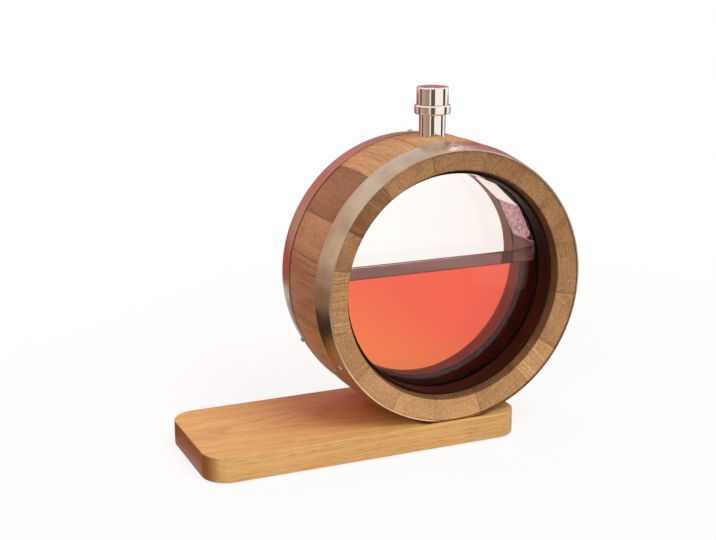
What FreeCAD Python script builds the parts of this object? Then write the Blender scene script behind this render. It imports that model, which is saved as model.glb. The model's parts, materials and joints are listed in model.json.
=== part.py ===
"""Oak cask liquor dispenser: a short glass-ended cask that turns in a cradle cut into an oak plank.

Every piece is drawn about the centre of the cask, with the cask's axis along Y, the neck pointing up
along Z and the plank running out towards -X, where the glass stands. The last step moves all of it
so that the origin is the bottom centre of the whole dispenser.
"""
import FreeCAD, Part
import math
import os
from FreeCAD import Vector

# ---- driving sizes, in millimetres ----------------------------------------------------------------

# Cask
cask_length = 120.0          # over the outer edges of the two hoops
bilge_radius = 134.0         # outside of the wood at the middle of the cask
bulge = 5.4                  # how much smaller that radius is at the hoops' outer edges
rim_width = 18.6             # the end face of the wood, from its rim in to the mouth of the bore
lip_flare = 2.0              # how much wider the mouth is than the bore that takes the glass
lip_flare_depth = 10.0       # how far the flare reaches in
face_dish = 4.0              # how far the end face slopes in from its rim to the mouth
glass_shoulder = 5.0         # from the bore in to the flat inner face of a stave
chamber_width = 40.0         # between the two shoulders that the glasses seat against
stave_widths = (26, 24, 23, 17, 28, 22, 22, 21, 22, 25, 19, 25, 24, 22, 20, 20)   # in degrees

# Hoops and their screws
hoop_width = 26.0
hoop_thickness = 1.4
hoop_play = 0.05             # between a hoop and the wood
hoop_proud = 1.2             # how far a hoop's edge stands past the end of the wood
hoop_edge_chamfer = 0.3
hoop_screw_count = 3
screw_diameter = 3.0
screw_length = 12.0
screw_point = 3.0
screw_head_diameter = 5.4
screw_head_height = 1.8

# Glass ends
glass_thickness = 6.0
glass_arris = 0.5
glass_play = 0.5             # round the edge of the glass
seal_thickness = 1.5
seal_width = 2.6
retainer_wall = 2.7
retainer_width = 17.5
retainer_chamfer = 0.8

# Neck
neck_diameter = 25.0
neck_bore = 18.5
neck_thread_diameter = 22.5
neck_rise = 30.0             # from the bilge up to the mouth
neck_seat_depth = 8.0        # from the bilge down to the shoulder that the neck stands on
neck_play = 0.1              # round the neck in its holes
neck_mouth_chamfer = 0.6
neck_seal_thickness = 1.5
washer_diameter = 36.0
washer_thickness = 1.5
nut_across_flats = 30.0
nut_thickness = 6.0
nut_sides = 6
nut_pocket_diameter = 38.0
nut_cover = 0.5              # from the nut to the inner face of the stave
collar_diameter = 34.0
collar_height = 9.0
collar_top_chamfer = 0.8
collar_bottom_round = 2.2

# Stopper
stopper_diameter = 30.0
stopper_height = 16.3
stopper_wall = 1.2
stopper_top_round = 1.2
stopper_seat_gap = 0.2       # between the stopper's head and the mouth
plug_length = 25.0
plug_play = 0.35             # round the plug in the neck
plug_end_chamfer = 1.0
plug_hollow_diameter = 9.0
plug_hollow_depth = 20.0
ring_section = 2.6           # thickness of a sealing ring
ring_play = 0.05             # round a sealing ring in the neck
ring_groove_width = 3.0
ring_spacing = 8.0
ring_from_end = 5.0          # from the plug's end up to the lower ring's centre

# Liquor
liquor_level = 8.0           # above the cask's axis
liquor_gap = 0.3             # to the glass
liquor_wall_gap = 0.5        # to the staves' flat inner faces

# Plank and its pads
plank_reach = 247.0          # from below the cask's axis out to the glass end
plank_tail = 68.0            # from below the cask's axis to the other end
plank_depth = 130.0
plank_thickness = 24.0
plank_corner_radius = 24.0
plank_edge_round = 1.2
cradle_depth = 5.3
cradle_gap = 0.3             # between the bilge and the cradle
cradle_end_gap = 1.0         # between a hoop's edge and the end of the cradle
pad_diameter = 14.0
pad_height = 2.0
pad_inset = 18.0             # from the plank's edges to a pad's centre
pad_edge_chamfer = 0.4

# ---- sizes that follow ----------------------------------------------------------------------------

half_length = cask_length / 2
wood_end = half_length - hoop_proud
hoop_outside = hoop_play + hoop_thickness
bulge_radius = (half_length ** 2 + bulge ** 2) / (2 * bulge)
bulge_centre = bilge_radius - bulge_radius
lip_radius = bilge_radius - bulge - rim_width
bore_radius = lip_radius - lip_flare
face_inner = wood_end - face_dish
flat_distance = bore_radius - glass_shoulder
shoulder = chamber_width / 2
glass_inner = shoulder + seal_thickness
glass_outer = glass_inner + glass_thickness
mouth = bilge_radius + neck_rise
neck_seat = bilge_radius - neck_seat_depth
nut_bottom = flat_distance + nut_cover
nut_top = nut_bottom + nut_thickness
pocket_floor = nut_top + washer_thickness
plank_top = -(bilge_radius + cradle_gap - cradle_depth)
plank_bottom = plank_top - plank_thickness
OUT = Vector(0, 0, 1)
ALONG = Vector(0, 1, 0)
CENTRE = Vector(0, 0, 0)


# ---- ways of making -------------------------------------------------------------------------------

def lines(points):
    """Straight edges through a row of points."""
    return [Part.LineSegment(a, b).toShape() for a, b in zip(points, points[1:])]


def turned_about_cask(edges):
    """A full turn, about the cask's axis, of a closed profile that lies in the XY plane."""
    return Part.Face(Part.Wire(edges)).revolve(CENTRE, ALONG, 360)


def turned_about_neck(points):
    """A full turn, about the neck's axis, of a closed profile given as (radius, height) points."""
    corners = [Vector(radius, 0, height) for radius, height in points]
    return Part.Face(Part.Wire(lines(corners + corners[:1]))).revolve(CENTRE, OUT, 360)


def circles_at(shape, radius, height):
    """The round edges of a shape that have one radius and lie level at one height."""
    return [edge for edge in shape.Edges if isinstance(edge.Curve, Part.Circle)
            and math.isclose(edge.Curve.Radius, radius) and math.isclose(edge.Curve.Center.z, height)]


def ring_about_cask(inner, outer, start, end):
    """A plain ring on the cask's axis between two places along it."""
    tube = Part.makeCylinder(outer, end - start, Vector(0, start, 0), ALONG)
    return tube.cut(Part.makeCylinder(inner, end - start, Vector(0, start, 0), ALONG))


def ring_about_neck(inner, outer, bottom, top):
    """A plain ring on the neck's axis between two heights."""
    return turned_about_neck([(inner, bottom), (outer, bottom), (outer, top), (inner, top)])


def bulge_point(place, out=0.0):
    """A point on the cask's outline at a place along its axis, or on a curve that far outside it."""
    radius = bulge_radius + out
    return Vector(bulge_centre + math.sqrt(radius ** 2 - place ** 2), place, 0)


def bulge_edge(start, end, out=0.0):
    """The cask's curved outline between two places along its axis."""
    middle = (start + end) / 2
    arc = Part.Arc(bulge_point(start, out), bulge_point(middle, out), bulge_point(end, out))
    return arc.toShape()


def at_angle(shape, degrees):
    """A copy of a shape drawn at +X, turned about the cask's axis towards +Z."""
    copy = shape.copy()
    copy.rotate(CENTRE, ALONG, -degrees)
    return copy


def mirrored_ends(front):
    """A front piece and its mirror image at the rear of the cask."""
    return front, front.mirror(CENTRE, ALONG)


# ---- hoops and screws -----------------------------------------------------------------------------

screw_place = half_length - hoop_width / 2
screw_foot = bulge_point(-screw_place)
screw_tilt = math.degrees(math.atan2(screw_foot.y, screw_foot.x - bulge_centre))
screw_angles = [90 + index * 360 / hoop_screw_count for index in range(hoop_screw_count)]


def make_screw():
    """A dome-headed screw at the front hoop, square to the wood's surface, drawn at +X."""
    radius = screw_diameter / 2
    head_radius = screw_head_diameter / 2
    top = hoop_outside + screw_head_height
    dome_radius = (head_radius ** 2 + screw_head_height ** 2) / (2 * screw_head_height)
    half_height = top - dome_radius + math.sqrt(dome_radius ** 2 - (head_radius / 2) ** 2)
    dome = Part.Arc(Vector(hoop_outside, head_radius, 0), Vector(half_height, head_radius / 2, 0),
                    Vector(top, 0, 0)).toShape()
    side = lines([Vector(top, 0, 0), Vector(-screw_length, 0, 0),
                  Vector(screw_point - screw_length, radius, 0), Vector(hoop_outside, radius, 0),
                  Vector(hoop_outside, head_radius, 0)])
    screw = Part.Face(Part.Wire(side + [dome])).revolve(CENTRE, Vector(1, 0, 0), 360)
    screw.rotate(CENTRE, OUT, screw_tilt)
    return screw.translated(screw_foot)


def make_hoop():
    """The front hoop: a steel strip that follows the bulge of the wood, holed for its screws."""
    outer_edge = -half_length
    inner_edge = hoop_width - half_length
    cut = hoop_edge_chamfer
    inside = bulge_edge(outer_edge, inner_edge, hoop_play)
    outside = bulge_edge(outer_edge + cut, inner_edge - cut, hoop_outside)
    inner_side = [inside.Vertexes[-1].Point, bulge_point(inner_edge, hoop_outside - cut),
                  outside.Vertexes[-1].Point]
    outer_side = [outside.Vertexes[0].Point, bulge_point(outer_edge, hoop_outside - cut),
                  inside.Vertexes[0].Point]
    strip = turned_about_cask([inside] + lines(inner_side) + [outside] + lines(outer_side))
    return strip.cut([at_angle(front_screw, angle) for angle in screw_angles])


front_screw = make_screw()
front_screws = Part.makeCompound([at_angle(front_screw, angle) for angle in screw_angles])
hoop_front, hoop_rear = mirrored_ends(make_hoop())
screws_front, screws_rear = mirrored_ends(front_screws)


# ---- staves ---------------------------------------------------------------------------------------

def make_stave_ring():
    """The wooden ring before it is parted: bulged outside, bored for a glass at each end."""
    rough = flat_distance - glass_shoulder
    flare_foot = face_inner - lip_flare_depth
    half = [(end_x, place) for end_x, place in (
        (lip_radius, face_inner), (bore_radius, flare_foot), (bore_radius, shoulder), (rough, shoulder))]
    rear = [bulge_point(wood_end)] + [Vector(x, place, 0) for x, place in half]
    front = [Vector(x, -place, 0) for x, place in reversed(half)] + [bulge_point(-wood_end)]
    return turned_about_cask([bulge_edge(-wood_end, wood_end)] + lines(rear + front))


def make_stave(ring, start, end):
    """One stave: the ring between two radial joints, with its inner face planed flat."""
    half = math.radians((end - start) / 2)
    near = flat_distance * math.tan(half)
    far = 2 * bilge_radius
    wide = far * math.tan(half)
    corners = [Vector(x, -half_length, z) for x, z in
               ((flat_distance, -near), (far, -wide), (far, wide), (flat_distance, near))]
    face = Part.Face(Part.Wire(lines(corners + corners[:1])))
    wedge = at_angle(face.extrude(ALONG * cask_length), (start + end) / 2)
    return ring.common(wedge)


def make_bung_hole():
    """What is drilled for the neck: a seat from outside, a way through, and a pocket for the nut."""
    seat = Part.makeCylinder(neck_diameter / 2 + neck_play, 2 * neck_seat_depth + neck_seal_thickness,
                             OUT * (neck_seat - neck_seal_thickness))
    through = Part.makeCylinder(neck_thread_diameter / 2 + neck_play, bilge_radius)
    pocket = Part.makeCylinder(nut_pocket_diameter / 2, pocket_floor)
    return seat.fuse([through, pocket])


joint_scale = 360 / sum(stave_widths)
stave_ring = make_stave_ring().cut([screws_front, screws_rear])
staves = []
joint = 90 - stave_widths[0] * joint_scale / 2
for width in stave_widths:
    staves.append(make_stave(stave_ring, joint, joint + width * joint_scale))
    joint += width * joint_scale
staves[0] = staves[0].cut(make_bung_hole())


# ---- glass ends -----------------------------------------------------------------------------------

def make_glass():
    """The front glass: a round pane with ground edges."""
    radius = bore_radius - glass_play
    pane = Part.makeCylinder(radius, glass_thickness, Vector(0, -glass_outer, 0), ALONG)
    return pane.makeChamfer(glass_arris, [edge for edge in pane.Edges if len(edge.Vertexes) == 1
                                          and isinstance(edge.Curve, Part.Circle)])


def make_retainer():
    """The ring in front of the glass that holds it on its seal."""
    inner = bore_radius - retainer_wall
    front = -glass_outer - retainer_width
    points = [(inner, -glass_outer), (bore_radius, -glass_outer), (bore_radius, front),
              (inner + retainer_chamfer, front), (inner, front + retainer_chamfer)]
    corners = [Vector(x, place, 0) for x, place in points]
    return turned_about_cask(lines(corners + corners[:1]))


seal_outer = bore_radius - glass_play
glass_front, glass_rear = mirrored_ends(make_glass())
seal_front, seal_rear = mirrored_ends(
    ring_about_cask(seal_outer - seal_width, seal_outer, -glass_inner, -shoulder))
retainer_front, retainer_rear = mirrored_ends(make_retainer())


# ---- neck -----------------------------------------------------------------------------------------

def make_neck_tube():
    """The steel neck: a thick tube that steps down to its threaded tail."""
    bore = neck_bore / 2
    outer = neck_diameter / 2
    tail = neck_thread_diameter / 2
    cut = neck_mouth_chamfer
    return turned_about_neck([(bore, nut_bottom), (tail, nut_bottom), (tail, neck_seat),
                              (outer, neck_seat), (outer, mouth), (bore + cut, mouth),
                              (bore, mouth - cut)])


def make_collar():
    """The grip collar round the mouth, chamfered above and rounded below."""
    outer = collar_diameter / 2
    inner = neck_diameter / 2
    bottom = mouth - collar_height
    blank = ring_about_neck(inner, outer, bottom, mouth)
    blank = blank.makeChamfer(collar_top_chamfer, circles_at(blank, outer, mouth))
    return blank.makeFillet(collar_bottom_round, circles_at(blank, outer, bottom))


def make_nut():
    """The hexagonal nut that draws the neck down from inside the cask."""
    corner = nut_across_flats / 2 / math.cos(math.pi / nut_sides)
    turns = [2 * math.pi * index / nut_sides for index in range(nut_sides)]
    points = [Vector(corner * math.cos(turn), corner * math.sin(turn), nut_bottom) for turn in turns]
    blank = Part.Face(Part.Wire(lines(points + points[:1]))).extrude(OUT * nut_thickness)
    return blank.cut(Part.makeCylinder(neck_thread_diameter / 2, nut_top))


neck_tube = make_neck_tube()
neck_collar = make_collar()
neck_seal = ring_about_neck(neck_thread_diameter / 2, neck_diameter / 2,
                            neck_seat - neck_seal_thickness, neck_seat)
neck_washer = ring_about_neck(neck_thread_diameter / 2 + neck_play, washer_diameter / 2,
                              nut_top, pocket_floor)
neck_nut = make_nut()


# ---- stopper --------------------------------------------------------------------------------------

head_bottom = mouth + stopper_seat_gap
head_top = head_bottom + stopper_height
plug_end = mouth - plug_length
ring_radius = neck_bore / 2 - ring_play - ring_section / 2
ring_heights = [plug_end + ring_from_end + index * ring_spacing for index in range(2)]


def make_stopper_cap():
    """The stopper's steel head: a turned cup, rounded at its top edge."""
    outer = stopper_diameter / 2
    blank = Part.makeCylinder(outer, stopper_height, OUT * head_bottom)
    blank = blank.makeFillet(stopper_top_round, circles_at(blank, outer, head_top))
    hollow = Part.makeCylinder(outer - stopper_wall, stopper_height - stopper_wall, OUT * head_bottom)
    return blank.cut(hollow)


def make_plug():
    """The moulded plug: it fills the head, and its shank carries the sealing rings."""
    head = stopper_diameter / 2 - stopper_wall
    shank = neck_bore / 2 - plug_play
    cut = plug_end_chamfer
    body = turned_about_neck([(0, plug_end), (shank - cut, plug_end), (shank, plug_end + cut),
                              (shank, head_bottom), (head, head_bottom),
                              (head, head_top - stopper_wall), (0, head_top - stopper_wall)])
    root = ring_radius - ring_section / 2
    grooves = [ring_about_neck(root, neck_bore / 2, height - ring_groove_width / 2,
                               height + ring_groove_width / 2) for height in ring_heights]
    hollow = Part.makeCylinder(plug_hollow_diameter / 2, plug_hollow_depth, OUT * plug_end)
    return body.cut(grooves + [hollow])


stopper_cap = make_stopper_cap()
stopper_plug = make_plug()
stopper_rings = [Part.makeTorus(ring_radius, ring_section / 2, OUT * height) for height in ring_heights]


# ---- liquor ---------------------------------------------------------------------------------------

def make_liquor():
    """What stands in the cask: it stays level while the cask turns round it."""
    radius = flat_distance - liquor_wall_gap
    half_width = glass_inner - liquor_gap
    full = Part.makeCylinder(radius, 2 * half_width, ALONG * -half_width, ALONG)
    above = Part.makeBox(2 * radius, 2 * half_width, radius, Vector(-radius, -half_width, liquor_level))
    return full.cut(above)


liquor = make_liquor()


# ---- plank ----------------------------------------------------------------------------------------

def make_plank():
    """The oak plank, with round corners, eased edges and the cradle that the cask turns in."""
    length = plank_reach + plank_tail
    blank = Part.makeBox(length, plank_depth, plank_thickness,
                         Vector(-plank_reach, -plank_depth / 2, plank_bottom))
    uprights = [edge for edge in blank.Edges if edge.BoundBox.ZLength > plank_thickness / 2]
    blank = blank.makeFillet(plank_corner_radius, uprights)
    rims = [edge for edge in blank.Edges if edge.BoundBox.ZLength < plank_edge_round]
    blank = blank.makeFillet(plank_edge_round, rims)
    half_cradle = half_length + cradle_end_gap
    cradle = Part.makeCylinder(bilge_radius + cradle_gap, 2 * half_cradle, ALONG * -half_cradle, ALONG)
    return blank.cut(cradle)


def make_pads():
    """Four rubber pads stuck under the plank."""
    underside = plank_bottom - pad_height
    blank = Part.makeCylinder(pad_diameter / 2, pad_height, OUT * underside)
    pad = blank.makeChamfer(pad_edge_chamfer, circles_at(blank, pad_diameter / 2, underside))
    across = plank_depth / 2 - pad_inset
    places = [Vector(x, y, 0) for x in (pad_inset - plank_reach, plank_tail - pad_inset)
              for y in (-across, across)]
    return Part.makeCompound([pad.translated(place) for place in places])


plank = make_plank()
foot_pads = make_pads()


# ---- the set of pieces ----------------------------------------------------------------------------

pieces = {
    "plank": plank, "foot_pads": foot_pads, "liquor": liquor,
    "hoop_front": hoop_front, "hoop_rear": hoop_rear,
    "hoop_screws_front": screws_front, "hoop_screws_rear": screws_rear,
    "glass_front": glass_front, "glass_rear": glass_rear,
    "glass_seal_front": seal_front, "glass_seal_rear": seal_rear,
    "glass_retainer_front": retainer_front, "glass_retainer_rear": retainer_rear,
    "neck_tube": neck_tube, "neck_collar": neck_collar, "neck_seal": neck_seal,
    "neck_washer": neck_washer, "neck_nut": neck_nut,
    "stopper_cap": stopper_cap, "stopper_plug": stopper_plug,
    "stopper_ring_lower": stopper_rings[0], "stopper_ring_upper": stopper_rings[1],
}
for number, stave in enumerate(staves, 1):
    pieces["bung_stave" if number == 1 else f"stave_{number:02d}"] = stave

widest = max(bilge_radius, plank_tail)
to_origin = Vector((plank_reach - widest) / 2, 0, pad_height - plank_bottom)
os.makedirs("parts", exist_ok=True)
for name, shape in pieces.items():
    shape.translated(to_origin).exportStep(f"parts/{name}.step")
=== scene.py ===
"""Oak cask liquor dispenser: staves, hoops, glass ends, neck, stopper, liquor and plank."""

import json
import math
import random

import bmesh
import bpy
from mathutils import Matrix, Vector


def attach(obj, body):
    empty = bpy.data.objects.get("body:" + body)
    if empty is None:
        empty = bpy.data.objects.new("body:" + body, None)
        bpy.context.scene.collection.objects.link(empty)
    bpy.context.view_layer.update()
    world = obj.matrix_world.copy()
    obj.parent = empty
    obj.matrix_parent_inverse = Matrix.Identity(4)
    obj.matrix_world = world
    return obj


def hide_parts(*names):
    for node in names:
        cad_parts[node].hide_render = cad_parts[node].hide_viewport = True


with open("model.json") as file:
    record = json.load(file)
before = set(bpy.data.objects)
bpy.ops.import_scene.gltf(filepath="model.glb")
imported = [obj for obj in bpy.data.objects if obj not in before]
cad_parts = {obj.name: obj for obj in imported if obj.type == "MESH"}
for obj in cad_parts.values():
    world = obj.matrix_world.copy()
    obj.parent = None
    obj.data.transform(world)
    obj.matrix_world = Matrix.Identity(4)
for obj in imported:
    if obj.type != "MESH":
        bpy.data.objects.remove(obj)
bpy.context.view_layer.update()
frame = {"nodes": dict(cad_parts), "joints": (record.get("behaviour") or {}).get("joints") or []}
nodes = frame["nodes"]


# ---- Staves ----
# Sixteen oak staves glued edge to edge into a short bulged ring, turned and bored as one piece.
# Inside, between the two glasses, each stave keeps its flat planed face under a glossy clear seal.

MM = 0.001
hinge = next(joint for joint in frame["joints"] if joint["name"] == "cask_turn")
CASK = Vector(hinge["pos_m"])

# radii about the cask's axis, places along it from its middle, and the bulge's own radius
BILGE = 134.0 * MM
BULGE_RADIUS = 336.03 * MM
WOOD_END = 58.8 * MM
FACE_INNER = 54.8 * MM
MOUTH_RADIUS = 110.0 * MM
BORE = 108.0 * MM
FLARE_FOOT = 44.8 * MM
FLAT = 103.0 * MM
SHOULDER = 20.0 * MM
STAVE_MIDDLE = 118.0 * MM

EASED_EDGE = 0.6 * MM
EASED_JOINT = 0.28 * MM
SEAM_WIDTH = 1.2 * EASED_JOINT

# degrees: where the first joint lies, and the bend from which a stave's edge is shaded sharp
FIRST_JOINT = 77.0
STAVE_SHARP = 28.0

# radius and height above the cask's axis, in mm, of the stepped hole for nut, seal and neck tube
BUNG_HOLE = [(19.0, 90.0), (19.0, 111.0), (11.35, 111.0), (11.35, 124.5), (12.6, 124.5), (12.6, 150.0)]

# width in degrees, tone of the end grain and of the outside (0 pale gold to 1 dark brown; the pale
# outsides of the staves on top are partly painted light), how the growth rings lie across the stave (0
# as lines out from the axis,
# 90 as arcs about it), distance to the pith and ring width in mm, how plainly the rings show, and how
# bright the painted reflection on the dry seal inside is
STAVES = [
    ("bung_stave", 26, 0.50, 0.20, 78, 95, 2.3, 0.35, 0.70),
    ("stave_02", 24, 0.36, 0.20, 62, 120, 2.6, 0.55, 0.55),
    ("stave_03", 23, 0.84, 0.80, 84, 150, 2.0, 0.25, 0.35),
    ("stave_04", 17, 0.60, 0.50, 48, 160, 2.2, 0.30, 0.50),
    ("stave_05", 28, 0.22, 0.46, 4, 330, 3.4, 1.00, 0.60),
    ("stave_06", 22, 0.42, 0.41, 98, 110, 2.1, 0.25, 0.40),
    ("stave_07", 22, 0.30, 0.42, 80, 90, 2.4, 0.30, 0.50),
    ("stave_08", 21, 0.14, 0.36, 66, 140, 2.0, 0.20, 0.50),
    ("stave_09", 22, 0.08, 0.38, 92, 120, 2.2, 0.30, 0.50),
    ("stave_10", 25, 0.30, 0.46, 75, 100, 2.5, 0.55, 0.50),
    ("stave_11", 19, 0.04, 0.40, 8, 280, 2.6, 0.80, 0.50),
    ("stave_12", 25, 0.46, 0.55, 30, 150, 2.4, 0.35, 0.40),
    ("stave_13", 24, 0.52, 0.48, 88, 115, 2.2, 0.55, 0.05),
    ("stave_14", 22, 0.62, 0.56, 70, 130, 2.5, 0.30, 0.45),
    ("stave_15", 20, 0.50, 0.42, 58, 105, 2.1, 0.25, 1.00),
    ("stave_16", 20, 0.60, 0.50, 20, 140, 2.3, 0.45, 0.80),
]


def about_cask(radius, angle, along):
    """A place at a radius and an angle about the cask's axis, and so far along it."""
    return CASK + Vector((radius * math.cos(angle), along, radius * math.sin(angle)))


def bulge_radius(along):
    """Outside radius of the wood at a place along the cask's axis."""
    return BILGE - BULGE_RADIUS + math.sqrt(BULGE_RADIUS ** 2 - along ** 2)


def eased(corners):
    """A closed outline of (place, radius, ease) corners, each rounded over as far as its ease."""
    outline = []
    for index, (y, r, ease) in enumerate(corners):
        here = Vector((y, r))
        if not ease:
            outline.append(here)
            continue
        before = Vector(corners[index - 1][:2])
        after = Vector(corners[(index + 1) % len(corners)][:2])
        arriving = (before - here).normalized() * ease
        leaving = (after - here).normalized() * ease
        middle = here + (arriving + leaving) / 4
        # the outermost two keep the light on the flats beside the rounding even
        outline += [here + arriving * 3, here + arriving, middle, here + leaving, here + leaving * 3]
    return outline


def drawn_in(outline, amount):
    """A closed outline moved inwards, square to its own edges."""
    moved = []
    for index, here in enumerate(outline):
        step = outline[(index + 1) % len(outline)] - outline[index - 1]
        moved.append(here + Vector((step.y, -step.x)).normalized() * amount)
    return moved


def stave_outline(inner):
    """A stave's outline along its length: bulge, dished ends, flared bores and the flat between."""
    steps = 16
    outside = []
    for index in range(1, steps):
        along = WOOD_END * (2 * index / steps - 1)
        outside.append((along, bulge_radius(along), 0))
    rim = bulge_radius(WOOD_END)
    corner = EASED_EDGE
    return eased(
        [(-WOOD_END, rim, corner)] + outside + [(WOOD_END, rim, corner),
         (FACE_INNER, MOUTH_RADIUS, corner), (FLARE_FOOT, BORE, 0), (SHOULDER, BORE, 0),
         (SHOULDER, inner, 0), (-SHOULDER, inner, 0), (-SHOULDER, BORE, 0),
         (-FLARE_FOOT, BORE, 0), (-FACE_INNER, MOUTH_RADIUS, corner)])


def new_object(name, data):
    """An object in the scene for a mesh, a lamp or a camera."""
    thing = bpy.data.objects.new(name, data)
    bpy.context.scene.collection.objects.link(thing)
    return thing


def finish_mesh(piece, sharp_angle=35):
    """Outward faces, and sharp shading only along a mesh's hard edges."""
    shape = bmesh.new()
    shape.from_mesh(piece.data)
    bmesh.ops.recalc_face_normals(shape, faces=shape.faces)
    for face in shape.faces:
        face.smooth = True
    for edge in shape.edges:
        edge.smooth = len(edge.link_faces) == 2 and edge.calc_face_angle() < math.radians(sharp_angle)
    shape.to_mesh(piece.data)
    shape.free()


def mesh_object(name, points, faces, sharp_angle=35):
    """A mesh object, smooth except along its edges that are sharper than an angle."""
    mesh = bpy.data.meshes.new(name)
    mesh.from_pydata([tuple(point) for point in points], [], faces)
    piece = new_object(name, mesh)
    finish_mesh(piece, sharp_angle)
    return piece


def block_faces(rows, size):
    """Faces between rows of points of a closed outline, with the first and last row filled in."""
    faces = [list(range(size)), list(range((rows - 1) * size, rows * size))]
    for row in range(rows - 1):
        here, beyond = row * size, (row + 1) * size
        for index in range(size):
            beside = (index + 1) % size
            faces.append([here + index, here + beside, beyond + beside, beyond + index])
    return faces


def make_stave(name, start, end):
    """One stave between two radial joints, with its joint edges eased."""
    middle = (start + end) / 2
    half = (end - start) / 2
    ease = math.degrees(EASED_JOINT / BILGE)
    corner = 0.29
    edges = [(0, 1), (corner * ease, corner), (ease, 0)]
    steps = 14
    inside = [(ease + (2 * half - 2 * ease) * index / steps, 0) for index in range(1, steps)]
    turns = edges + inside + [(2 * half - turn, draw) for turn, draw in reversed(edges)]
    points = []
    for turn, draw in turns:
        away = math.radians(turn - half)
        outline = drawn_in(stave_outline(FLAT / math.cos(away)), draw * EASED_JOINT)
        angle = math.radians(middle) + away
        points += [about_cask(radius, angle, along) for along, radius in outline]
    return mesh_object(name, points, block_faces(len(turns), len(outline)), STAVE_SHARP)


def store(mesh, name, values):
    """Keeps one vector for each point of a mesh, for its material to read."""
    mesh.attributes.new(name, "FLOAT_VECTOR", "POINT").data.foreach_set("vector", values)


def mark_grain(piece, middle, half, looks, shift):
    """Stores at each point where it lies in the log that the stave was split from."""
    tone, side_tone_and_light, ring_turn, pith, ring_width, show, seal_reflection = looks
    turn = math.radians(ring_turn)
    grain = []
    look = []
    finish = []
    for vertex in piece.data.vertices:
        place = vertex.co - CASK
        away = math.remainder(math.atan2(place.z, place.x) - math.radians(middle), 2 * math.pi)
        radius = math.hypot(place.x, place.z)
        across = radius * math.sin(away)
        out = radius * math.cos(away) - STAVE_MIDDLE
        grain += [across * math.cos(turn) + out * math.sin(turn) + pith * MM, place.y + shift,
                  out * math.cos(turn) - across * math.sin(turn)]
        to_joint = radius * (math.radians(half) - abs(away))
        seam = 1.0 - to_joint / SEAM_WIDTH
        look += [tone, side_tone_and_light, ring_width]
        finish += [max(0.0, min(seam, 1.0)), show, seal_reflection]
    store(piece.data, "grain", grain)
    store(piece.data, "stave_look", look)
    store(piece.data, "stave_seam_rings_reflection", finish)


def quarter(steps):
    """Cosine and sine at even steps through a quarter turn."""
    leans = [math.pi / 2 * step / steps for step in range(steps + 1)]
    return [(math.cos(lean), math.sin(lean)) for lean in leans]


def turned(profile, angle, centre):
    """A profile of (radius, height) set at an angle round an upright axis."""
    return [centre + Vector((math.cos(angle) * r, math.sin(angle) * r, z)) for r, z in profile]


def ring_faces(rows, size, closed=True):
    """Faces between rows of points that stand round an axis, the last row joined to the first."""
    faces = []
    for row in range(rows):
        here, beyond = row * size, (row + 1) % rows * size
        for index in range(size if closed else size - 1):
            after = (index + 1) % size
            faces.append([here + index, beyond + index, beyond + after, here + after])
    return faces


def lathe(profile, turns, centre, closed=False):
    """Points and faces of a profile turned about an upright axis, as a ring or as a solid."""
    points = []
    for step in range(turns):
        points += turned(profile, 2 * math.pi * step / turns, centre)
    size = len(profile)
    faces = ring_faces(turns, size, closed)
    if not closed:
        faces.append([step * size for step in range(turns)])
        faces.append([step * size + size - 1 for step in reversed(range(turns))])
    return points, faces


def cut_away(piece, cutter):
    """Cuts one solid from another and removes the cutter."""
    cut = piece.modifiers.new("cut", "BOOLEAN")
    cut.operation = "DIFFERENCE"
    cut.solver = "EXACT"
    cut.object = cutter
    evaluated = piece.evaluated_get(bpy.context.evaluated_depsgraph_get())
    mesh = bpy.data.meshes.new_from_object(evaluated)
    piece.modifiers.clear()
    piece.data = mesh
    bpy.data.objects.remove(cutter)


stave_pieces = []
chance = random.Random(11)
joint = FIRST_JOINT
for name, width, *looks in STAVES:
    piece = make_stave("oak_" + name, joint, joint + width)
    if name == "bung_stave":
        hole = [(radius * MM, height * MM) for radius, height in BUNG_HOLE]
        cut_away(piece, mesh_object("bung_cutter", *lathe(hole, 96, CASK)))
        finish_mesh(piece, STAVE_SHARP)
    mark_grain(piece, joint + width / 2, width / 2, looks, chance.uniform(0.5, 6.0))
    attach(piece, "cask")
    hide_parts(name)
    stave_pieces.append(piece)
    joint += width


def srgb(red, green, blue):
    """A colour as on a screen, from 0 to 255, in the light values of a shader."""
    parts = [value / 255 for value in (red, green, blue)]
    return tuple(p / 12.92 if p <= 0.04045 else ((p + 0.055) / 1.055) ** 2.4 for p in parts) + (1.0,)


# pale and dark wood of the faces and of the outside, then what is laid over both
FACE_OAK = (srgb(210, 162, 112), srgb(118, 76, 50))
SIDE_OAK = (srgb(218, 166, 112), srgb(130, 78, 54))
RING_BROWN = srgb(104, 62, 38)
PORE_BROWN = srgb(84, 50, 30)
RAY_GOLD = srgb(226, 184, 132)
SEAM_BROWN = srgb(58, 34, 22)

# painted shade in the flared bores, deeper in front; the sealed flats inside: nearly black under the
# liquor, partly painted shade, and with a painted reflection where they are dry
FLARE_SHADE = srgb(58, 27, 13)
SEAL_UNDER_AND_SHADE = srgb(34, 24, 19)
SEAL_REFLECTION_TINTS = (srgb(218, 164, 168), srgb(132, 76, 90))
SEAL_REFLECTION_WHITE = srgb(255, 240, 234)
SEAL_REFLECTION_DARK = srgb(88, 50, 50)
WET_LINE = (CASK.z + 7.0 * MM, CASK.z + 8.5 * MM)


def set_sockets(tree, inputs, values):
    """Sets a node's sockets to values, or links them to what other nodes put out."""
    for key, value in values.items():
        if isinstance(value, bpy.types.NodeSocket):
            tree.links.new(value, inputs[key])
        else:
            inputs[key].default_value = value


def put(tree, kind, sockets=None, **settings):
    """One shader node, with its settings and with its sockets set or linked."""
    node = tree.nodes.new("ShaderNode" + kind)
    for key, value in settings.items():
        setattr(node, key, value)
    set_sockets(tree, node.inputs, sockets or {})
    return node


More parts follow.
